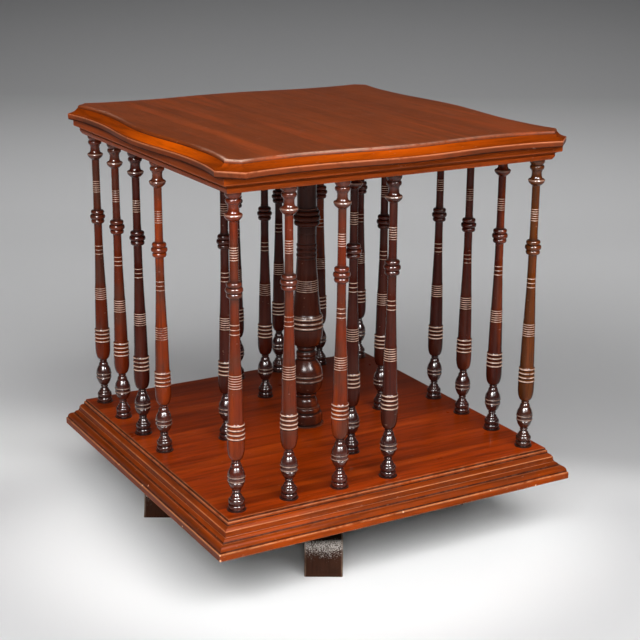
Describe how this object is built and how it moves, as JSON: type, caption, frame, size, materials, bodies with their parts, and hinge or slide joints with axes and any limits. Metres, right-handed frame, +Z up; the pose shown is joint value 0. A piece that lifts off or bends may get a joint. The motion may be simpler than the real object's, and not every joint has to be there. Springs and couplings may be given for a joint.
{
  "type": "revolving bookstand",
  "caption": "Table-top revolving bookstand: a square case of turned spindles and a central column between a moulded base and a shaped top, turning on a pin in a low cross stand.",
  "frame": {"origin": "middle of the footprint, on the floor under the cross stand; the case's turning axis rises from it", "axes": "+Z up along the turning axis; the case's sides are square to X and Y, its front towards -Y, the grain of the top along Y"},
  "size_m": [0.38, 0.381, 0.406],
  "materials": {
    "stand_wood": "dark brown-black stain, worn satin, light worn lines on the edges",
    "pivot_iron": "dull dark iron",
    "bearing_iron": "dull dark iron",
    "screw_steel": "dull steel",
    "screw_steel_case": "dull steel",
    "washer_brass": "dull brass",
    "base_wood": "red-brown polished mahogany with dark streaks",
    "base_rail_wood": "red-brown polished mahogany, darker in the hollows, bright worn edges",
    "spindle_wood": "dark purple-brown polished turned wood",
    "column_wood": "near-black polished turned wood",
    "frame_wood": "plain stained mahogany",
    "frame_rail_wood": "orange-brown polished mahogany",
    "top_wood": "brown-red polished mahogany, straight grain, orange moulded edge"
  },
  "bodies": {
    "stand": {"arm_lower": "stand_wood", "arm_upper": "stand_wood", "pivot_pin": "pivot_iron", "pivot_screws": "screw_steel", "thrust_washer": "washer_brass"},
    "case": {"bearing_plate": "bearing_iron", "bearing_screws": "screw_steel_case", "base_board": "base_wood", "base_rail_front": "base_rail_wood", "base_rail_right": "base_rail_wood", "base_rail_back": "base_rail_wood", "base_rail_left": "base_rail_wood", "column": "column_wood", "spindle_front_1": "spindle_wood", "spindle_front_2": "spindle_wood", "spindle_front_3": "spindle_wood", "spindle_front_4": "spindle_wood", "spindle_right_1": "spindle_wood", "spindle_right_2": "spindle_wood", "spindle_right_3": "spindle_wood", "spindle_right_4": "spindle_wood", "spindle_back_1": "spindle_wood", "spindle_back_2": "spindle_wood", "spindle_back_3": "spindle_wood", "spindle_back_4": "spindle_wood", "spindle_left_1": "spindle_wood", "spindle_left_2": "spindle_wood", "spindle_left_3": "spindle_wood", "spindle_left_4": "spindle_wood", "spindle_inner_front": "spindle_wood", "spindle_inner_right": "spindle_wood", "spindle_inner_back": "spindle_wood", "spindle_inner_left": "spindle_wood", "frame_board": "frame_wood", "frame_rail_front": "frame_rail_wood", "frame_rail_right": "frame_rail_wood", "frame_rail_back": "frame_rail_wood", "frame_rail_left": "frame_rail_wood", "top_board": "top_wood"}
  },
  "joints": [
    {"name": "case_turn", "type": "hinge", "parent": "stand", "child": "case", "pos_m": [0, 0, 0.058], "axis": [0, 0, 1], "continuous": true}
  ]
}
